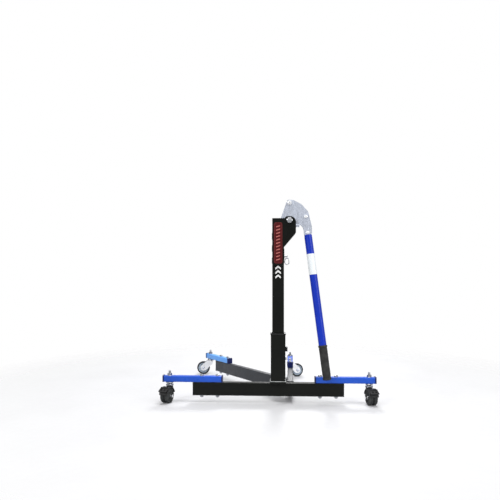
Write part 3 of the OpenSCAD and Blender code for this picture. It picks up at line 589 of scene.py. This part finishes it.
def pivot_fasteners():
    """Pivot bolt with its flanged head in front, and its nut and washer behind."""
    bm = bmesh.new()
    front = at(PIVOT - UNDER * CHEEK_FACE, -UNDER)
    turned(bm, [(7, -61), (7, 0), (10.2, 0), (10.5, 0.4), (10.5, 1.7), (10.2, 2), (7, 2)], front)
    hexagon(bm, front @ Matrix.Translation((0, 0, 2 * MM)), PIVOT_AF, 9 * MM)
    back = at(PIVOT + UNDER * CHEEK_FACE, UNDER)
    thread(bm, back, PIVOT_R, 16 * MM, 2 * MM, 32)
    stand_in("pivot_bolt", bm)
    bm = bmesh.new()
    washer(bm, back, 13 * MM, PIVOT_R, 2 * MM)
    hexagon(bm, back @ Matrix.Translation((0, 0, 2 * MM)), PIVOT_AF, 12 * MM, PIVOT_R, both=True)
    stand_in("pivot_nut", bm)


def lever_fasteners():
    """The two bolts through the lifting plate and the lever's tongue, with their nuts."""
    bm = bmesh.new()
    for up in (0, BOLT_GAP):
        place = TONGUE @ Matrix.Translation((0, -PLATE_FRONT, up)) @ at((0, 0, 0), -UNDER)
        hexagon(bm, place, M8_AF, 5.3 * MM)
        place = TONGUE @ Matrix.Translation((0, TONGUE_BACK, up)) @ at((0, 0, 0), UNDER)
        hexagon(bm, place, M8_AF, 6.5 * MM, M8_R, both=True)
        thread(bm, place @ Matrix.Translation((0, 0, -6 * MM)), M8_R, 15 * MM)
    stand_in("lever_bolts", bm, BRIGHT_ZINC)


def adapter_fastener():
    """Screw that holds the adapter pin from the front: a wide washer under a long round head."""
    front_y = PIVOT.y - PLATE_FRONT
    bm = bmesh.new()
    face = at((PIN.x, front_y, PIN.z), -UNDER)
    reach = (front_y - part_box("adapter_screw")[0].y) / MM
    turned(bm, [(3, -29), (3, 1.2), (9.2, 1.2), (9.5, 1.5), (9.5, 2.8), (9.1, 3.2), (6.5, 3.2),
                (6.5, reach - 1.2), (6.1, reach - 0.4), (5.2, reach), (3.2, reach), (3, reach - 0.4),
                (2.9, reach - 2.4), (0.6, reach - 2.8)], face)
    stand_in("adapter_screw", bm, BRIGHT_ZINC)


def clamp_fasteners():
    """Clamp bolt on the mast's side, and the six-lobed knob above it."""
    bm = bmesh.new()
    side = at(Vector((MAST.x + OUTER_HALF, MAST.y, CLAMP_Z)), ACROSS)
    turned(bm, [(4, -5.7), (4, 0)], side)
    hexagon(bm, side, M8_AF, 5.5 * MM)
    stand_in("clamp_bolt", bm)
    bm = bmesh.new()
    knob = at(joint_at("knob_turn"), ACROSS)
    lobes = lambda size: lambda a: (size - 0.65 * (1 + math.cos(6 * a))) * MM
    turned(bm, [(4, -5.7), (4, 1)], knob)
    outline = ((9, 0.6), (9.8, 1.1), (10, 2), (10, 7.4), (9.7, 8.4), (8.8, 9), (6.2, 9), (5.8, 8.4), (3, 8.2))
    loft(bm, [ring(lobes(r), z * MM, 72) for r, z in outline], knob)
    stand_in("clamp_knob", bm)


beam_fasteners()
castor_fasteners()
pivot_fasteners()
lever_fasteners()
adapter_fastener()
clamp_fasteners()

# ---------- castors ----------

# Parts of a front wheel's outline in millimetres: (radius, distance from the wheel's middle)
FRONT_FACE = [(9, 6.8), (9.7, 4.9), (11, 3.5), (22.4, 3.5), (24.4, 4.7), (25.4, 6.7)]
INNER_FACE = [(25.2, -6.8), (24.4, -6.1), (9, -6.1), (8.4, -6.8), (4.05, -6.8)]
SHOULDER = [(26.6, 7), (28.6, 6.3), (29.6, 4.8), (30, 3.4), (30, 0.7), (29.4, 0.35)]


def front_wheels():
    """Twin wheels: tyre with a parting groove, a dished outer face on six ribs and a flat inner face."""
    for side in ("front_left", "front_right"):
        for which in ("inner", "outer"):
            node = f"{side}_wheel_{which}"
            axis = Vector(joints[f"{side}_{which}_roll"]["axis"])
            middle = centre(node)
            out = axis if (middle - joint_at(f"{side}_{which}_roll")).dot(axis) > 0 else -axis
            place = at(middle, out)
            bm = bmesh.new()
            far = [(r, -z) for r, z in reversed(SHOULDER)]
            profile = [(4.05, 6.9)] + FRONT_FACE + SHOULDER + far + INNER_FACE
            turned(bm, profile, place, True, 64)
            for k in range(6):
                rib = place @ Matrix.Rotation(math.pi / 3 * k, 4, "Z") @ Matrix.Translation((16.6 * MM, 0, 0))
                slab(bm, rib, 14.5 * MM, 2.4 * MM, 2.5 * MM, 5.8 * MM)
            stand_in(node, bm)


def rear_wheels():
    """Tyre with two tread grooves round a moulded centre with eight ribs on each face."""
    half_tyre = [(26, 9.6), (27.4, 10), (29.6, 9.9), (31.8, 8.9), (33.2, 7.2), (33.8, 5.2), (34, 4.2),
                 (33.3, 3.8), (34, 3.4)]
    half_hub = [(4.05, 8.7), (4.4, 9), (8.4, 9), (9, 8.4), (9.3, 5.6), (10.2, 5), (21.8, 5), (22.7, 5.6),
                (23, 8.4), (23.6, 9), (25.6, 9), (26, 8.6)]
    for side in ("rear_left", "rear_right"):
        axis = joints[side + "_roll"]["axis"]
        place = at(joint_at(side + "_roll"), axis)
        bm = bmesh.new()
        turned(bm, half_tyre + [(r, -z) for r, z in reversed(half_tyre)], place, True, 72)
        stand_in(side + "_tyre", bm)
        bm = bmesh.new()
        turned(bm, half_hub + [(r, -z) for r, z in reversed(half_hub)], place, True, 64)
        for face in (1, -1):
            for k in range(8):
                rib = (place @ Matrix.Rotation(math.pi / 4 * k, 4, "Z")
                       @ Matrix.Translation((16 * MM, 0, 0)))
                low, high = sorted((face * 4.5 * MM, face * 7.4 * MM))
                slab(bm, rib, 14 * MM, 2 * MM, low, high, 0.9 * MM, 0.4 * MM)
        stand_in(side + "_hub", bm)


def axles():
    """Axle ends: bolt head and locknut on the rear castors, capped discs on the front ones."""
    for side in ("rear_left", "rear_right"):
        axis = Vector(joints[side + "_roll"]["axis"])
        middle = joint_at(side + "_roll")
        bm = bmesh.new()
        head = at(middle - axis * REAR_AXLE_FACE, -axis)
        turned(bm, [(4, -29), (4, 0)], head)
        hexagon(bm, head, M8_AF, 5.3 * MM)
        nut = at(middle + axis * REAR_AXLE_FACE, axis)
        hexagon(bm, nut, M8_AF, 6.5 * MM, M8_R, both=True)
        thread(bm, nut, M8_R, 8 * MM)
        stand_in(side + "_axle", bm)
    for side, inner in (("front_left", 1), ("front_right", -1)):
        axis = Vector(joints[side + "_inner_roll"]["axis"])
        middle = joint_at(side + "_inner_roll")
        bm = bmesh.new()
        for way in (1, -1):
            end = at(middle + axis * way * FRONT_AXLE_FACE, axis * way)
            turned(bm, [(4, -17), (4, 0), (6.6, 0), (7, 0.5), (6.8, 1.2), (5.6, 1.8), (2.4, 2), (1.6, 1.5)],
                   end)
            if way == inner:
                hexagon(bm, end @ Matrix.Translation((0, 0, 1.8 * MM)), M8_AF, 6.2 * MM)
        stand_in(side + "_axle", bm)


front_wheels()
rear_wheels()
axles()

# ---------- lever ----------

def grip():
    """Rubber grip: round end, two finger rings, a knurled sleeve and a collar."""
    def knurl(z):
        turn = 2 * math.pi * z / (150 * MM)

        def radius(a):
            crossing = abs(math.sin(KNURL_COUNT * (a + turn))) * abs(math.sin(KNURL_COUNT * (a - turn)))
            return (16.95 - 0.55 * (crossing > 0.22)) * MM
        return radius

    count = 112
    end = ((5, 0.6), (6, 0), (12, 0), (14.6, 0.8), (16.3, 2.6), (17, 5.4), (17, 11), (15.9, 12),
           (15.9, 13.6), (17, 14.6), (17, 17), (15.9, 18), (15.9, 19.6), (17, 20.6), (17, 22))
    collar = ((17, 124.4), (17, 128), (15.9, 129), (15.9, 130.6), (17, 131.6), (18.2, 133), (18.5, 134),
              (18.5, 138), (18.1, 139.4), (17, 140), (16.1, 140.2), (16.1, 141), (13.6, 141))
    rings = [ring(r * MM, z * MM, count) for r, z in end]
    rings += [ring(knurl(z * MM), z * MM, count) for z in range(23, 124)]
    rings += [ring(r * MM, z * MM, count) for r, z in collar]
    bm = bmesh.new()
    loft(bm, rings, LEVER @ Matrix.Translation((0, 0, -LEVER_LEN)))
    stand_in("lever_grip", bm)


def pull_ring():
    """Oval ring of round wire."""
    low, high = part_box("lock_ring")
    middle = (low + high) / 2
    bend = (high.x - low.x) / 2 - RING_WIRE
    reach = (high.z - low.z) / 2 - RING_WIRE - bend
    points = []
    for k in range(72):
        a = 2 * math.pi * k / 72
        sine = math.sin(a)
        up = bend * sine + math.copysign(reach, sine) if abs(sine) > 1e-6 else 0
        points.append(middle + Vector((bend * math.cos(a), 0, up)))
    bm = bmesh.new()
    sweep(bm, points, RING_WIRE, True, 14)
    stand_in("lock_ring", bm)


grip()
pull_ring()

# ---------- weld beads ----------

def box_path(low, high, axis, place, out=0.6 * MM):
    """Corners of a rectangle round a tube's end, on a plane across the given axis."""
    first, second = [k for k in range(3) if k != axis]
    corners = []
    for u, v in ((0, 0), (1, 0), (1, 1), (0, 1)):
        point = [0.0, 0.0, 0.0]
        point[axis] = place
        point[first] = (low[first] - out, high[first] + out)[u]
        point[second] = (low[second] - out, high[second] + out)[v]
        corners.append(point)
    return corners


def rail_foot_welds(rng):
    """Beads under the foot plate along the rail, and up both sides of the two gussets."""
    rail_low, rail_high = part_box("base_rail")
    plate_low, plate_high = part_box("foot_plate")
    bm = bmesh.new()
    for y in (rail_low.y - 0.8 * MM, rail_high.y + 0.8 * MM):
        z = plate_low.z - 0.8 * MM
        bead(bm, [(plate_low.x + 1 * MM, y, z), (plate_high.x - 1 * MM, y, z)], 2.6 * MM, False, rng)
    for x in (MAST.x - 22 * MM, MAST.x + 22 * MM):
        for side in (-3.4 * MM, 3.4 * MM):
            y = rail_high.y + 0.4 * MM
            bead(bm, [(x + side, y, 49 * MM), (x + side, y, 81 * MM)], 1.6 * MM, False, rng)
    add("rail_foot_welds", bm, "black_powder_coat", "base")


def mast_foot_weld(rng):
    """Bare bead round the outer mast tube on the foot plate; its pale steel is partly a painted highlight along
    the mast's foot.
    """
    low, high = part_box("mast_outer_tube")
    bm = bmesh.new()
    bead(bm, box_path(low, high, 2, low.z + 0.8 * MM), 2.4 * MM, True, rng)
    # The bead's pale steel stands in part for a painted highlight
    add("mast_foot_weld", bm, "black_powder_coat", "base", material=WELD_HIGHLIGHT)


def leg_welds(rng):
    """Beads round the straight leg at the rail, and round the oblique leg at the straight one."""
    leg = arm_frame("rear_right")
    root = leg.inverted() @ Vector((0, MAST.y + 85 * MM, 0))
    front = leg.inverted() @ Vector((STEMS["rear_right"].x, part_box("base_rail")[1].y + 1 * MM, 0))
    half = LEG_HALF / math.sin(math.radians(35))
    at_rail = box_path(Vector((0, -LEG_HALF, BEAM_Z)), Vector((0, LEG_HALF, BEAM_TOP)), 0, front.x)
    at_leg = box_path(Vector((root.x - half, 0, BEAM_Z)), Vector((root.x + half, 0, BEAM_TOP)), 1,
                      13.3 * MM)
    bm = bmesh.new()
    for around in (at_rail, at_leg):
        bead(bm, [leg @ Vector(p) for p in around], 2.3 * MM, True, rng)
    add("leg_welds", bm, "slate_powder_coat", "base")


def cheek_welds(rng):
    """Beads under both cheeks, and three stitches along each of their edges on the inner mast."""
    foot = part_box("cheek_front")[0].z
    low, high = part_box("mast_inner_tube")
    stitch, inset = 24 * MM, 6 * MM
    bm = bmesh.new()
    for y, way in ((low.y, -1), (high.y, 1)):
        line, z = y + way * 0.6 * MM, foot - 0.6 * MM
        bead(bm, [(low.x + inset, line, z), (high.x - inset, line, z)], 1.7 * MM, False, rng)
        for x, top in ((low.x - 0.1 * MM, 700 * MM), (high.x + 0.1 * MM, 636 * MM)):
            for k in range(3):
                start = foot + 8 * MM + k * (top - foot - 34 * MM) / 2
                bead(bm, [(x, y, start), (x, y, start + stitch)], 1.4 * MM, False, rng)
    add("cheek_welds", bm, "black_powder_coat", "mast")


def hub_welds():
    """Beads round the pivot hub on both faces of the lifting plate."""
    radius, count = 14.6 * MM, 90
    bm = bmesh.new()
    for y in (-10.6 * MM, 0.6 * MM):
        points = [PIVOT + Vector((radius * math.cos(a), y, radius * math.sin(a)))
                  for a in (2 * math.pi * k / count for k in range(count))]
        sweep(bm, points, lambda k: 1.3 * MM * (1 + 0.1 * math.sin(2 * math.pi * k / 3)), True, 8)
    add("hub_welds", bm, "zinc_steel", "lever")


def tongue_weld(rng):
    """Bead across the tongue where it enters the lever tube."""
    bm = bmesh.new()
    ends = [TONGUE @ Vector((x * MM, 8.6 * MM, -8 * MM)) for x in (-12, 12)]
    bead(bm, ends, 1.8 * MM, False, rng)
    add("tongue_weld", bm, "blue_powder_coat", "lever")


ripples = random.Random(7)
rail_foot_welds(ripples)
mast_foot_weld(ripples)
leg_welds(ripples)
cheek_welds(ripples)
hub_welds()
tongue_weld(ripples)

# ---------- floor, light and camera ----------

def floor():
    """Pale floor that fades out to the white behind it."""
    f = Finish("studio_floor", Specular_IOR_Level=0.2)
    tone = f.blend(f.span(f.noise(3, 4), 0.3, 0.7), (0.52, 0.52, 0.53, 1), (0.55, 0.55, 0.56, 1))
    f.wire(tone, f.span(f.noise(40, 4), 0.3, 0.7, 0.45, 0.60), f.bump(f.noise(300, 3), 0.1 * MM, 0.05))
    away = f.node("ShaderNodeVectorMath", [(0, f.place)], operation="LENGTH").outputs["Value"]
    clear = f.node("ShaderNodeBsdfTransparent").outputs[0]
    mix = f.node("ShaderNodeMixShader", [(0, f.span(away, 0.75, 1.7)), (1, f.shader.outputs[0]), (2, clear)])
    f.tree.links.new(mix.outputs[0], f.tree.nodes["Material Output"].inputs["Surface"])
    bm = bmesh.new()
    bmesh.ops.create_grid(bm, x_segments=8, y_segments=8, size=12)
    mesh = bpy.data.meshes.new("studio_floor")
    bm.to_mesh(mesh)
    bm.free()
    mesh.materials.append(f.material)
    plane = bpy.data.objects.new("studio_floor", mesh)
    plane.location.z = -0.2 * MM
    bpy.context.scene.collection.objects.link(plane)


def softbox(name, place, target, size, power):
    """Round area light of a diameter in metres and a power in watts, facing its target."""
    data = bpy.data.lights.new(name, "AREA")
    data.shape = "DISK"
    data.size = size
    data.energy = power
    lamp = bpy.data.objects.new(name, data)
    lamp.location = place
    lamp.rotation_euler = (Vector(target) - Vector(place)).to_track_quat("-Z", "Y").to_euler()
    bpy.context.scene.collection.objects.link(lamp)


floor()
middle = (cad_box[0] + cad_box[1]) / 2
softbox("top", (0.2, -0.5, 2.6), middle, 1.3, 44)
softbox("key", (-1.9, -2.3, 1.9), middle, 1.4, 40)
softbox("fill", (2.2, -1.8, 1.2), middle, 1.6, 22)
softbox("back", (0.2, 2.3, 2.2), middle, 0.9, 60)


def studio_world():
    """White behind the object, and a sky that is bright above and dim at eye level for its reflections."""
    world = bpy.data.worlds.new("studio")
    world.use_nodes = True
    tree = world.node_tree
    background = tree.nodes["Background"]
    white = tree.nodes.new("ShaderNodeBackground")
    white.inputs["Color"].default_value = (1, 1, 1, 1)
    place = tree.nodes.new("ShaderNodeTexCoord")
    height = tree.nodes.new("ShaderNodeSeparateXYZ")
    ramp = tree.nodes.new("ShaderNodeValToRGB")
    ramp.color_ramp.elements[0].position, ramp.color_ramp.elements[0].color = 0.0, (0.45, 0.46, 0.48, 1)
    ramp.color_ramp.elements[1].position, ramp.color_ramp.elements[1].color = 0.75, (1.0, 1.0, 1.0, 1)
    tree.links.new(place.outputs["Generated"], height.inputs[0])
    tree.links.new(height.outputs[2], ramp.inputs[0])
    tree.links.new(ramp.outputs[0], background.inputs["Color"])
    background.inputs["Strength"].default_value = 0.85
    path = tree.nodes.new("ShaderNodeLightPath")
    mix = tree.nodes.new("ShaderNodeMixShader")
    tree.links.new(path.outputs["Is Camera Ray"], mix.inputs[0])
    tree.links.new(background.outputs[0], mix.inputs[1])
    tree.links.new(white.outputs[0], mix.inputs[2])
    tree.links.new(mix.outputs[0], tree.nodes["World Output"].inputs["Surface"])
    bpy.context.scene.world = world


studio_world()
bpy.context.scene.view_settings.view_transform = "Standard"

lens = bpy.data.cameras.new("camera")
lens.sensor_width = 36
lens.lens = 36
lens.shift_y = 0.06
camera = bpy.data.objects.new("camera", lens)
camera.location = (0.0235, -2.3568, 0.506)
camera.rotation_euler = (math.radians(90), 0, math.radians(2.7))
bpy.context.scene.collection.objects.link(camera)
bpy.context.scene.camera = camera
